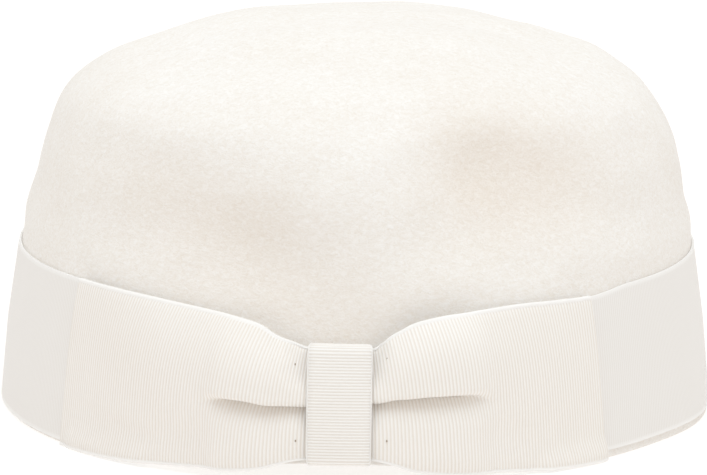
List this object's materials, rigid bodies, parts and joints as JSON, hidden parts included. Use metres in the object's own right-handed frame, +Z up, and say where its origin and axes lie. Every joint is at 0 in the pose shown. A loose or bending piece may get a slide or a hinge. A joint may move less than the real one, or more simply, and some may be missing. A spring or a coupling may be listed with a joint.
{
  "type": "pillbox hat",
  "caption": "Soft felt pillbox hat with a domed, lightly dented crown, a wide ribbon band and a flat ribbon bow held by a knot at the front.",
  "frame": {"origin": "centre of the bounding box, on the surface that the rim rests on", "axes": "-Y towards the bow at the front, +X to the right hand of someone facing the bow, +Z up towards the crown's top"},
  "size_m": [0.1721, 0.2082, 0.0932],
  "materials": {
    "felt": "matte brushed wool felt",
    "band_ribbon": "matte grosgrain",
    "bow_ribbon": "matte grosgrain",
    "knot_ribbon": "matte grosgrain"
  },
  "bodies": {
    "root": {"crown": "felt", "hat_band": "band_ribbon", "bow": "bow_ribbon", "knot": "knot_ribbon"}
  },
  "joints": []
}
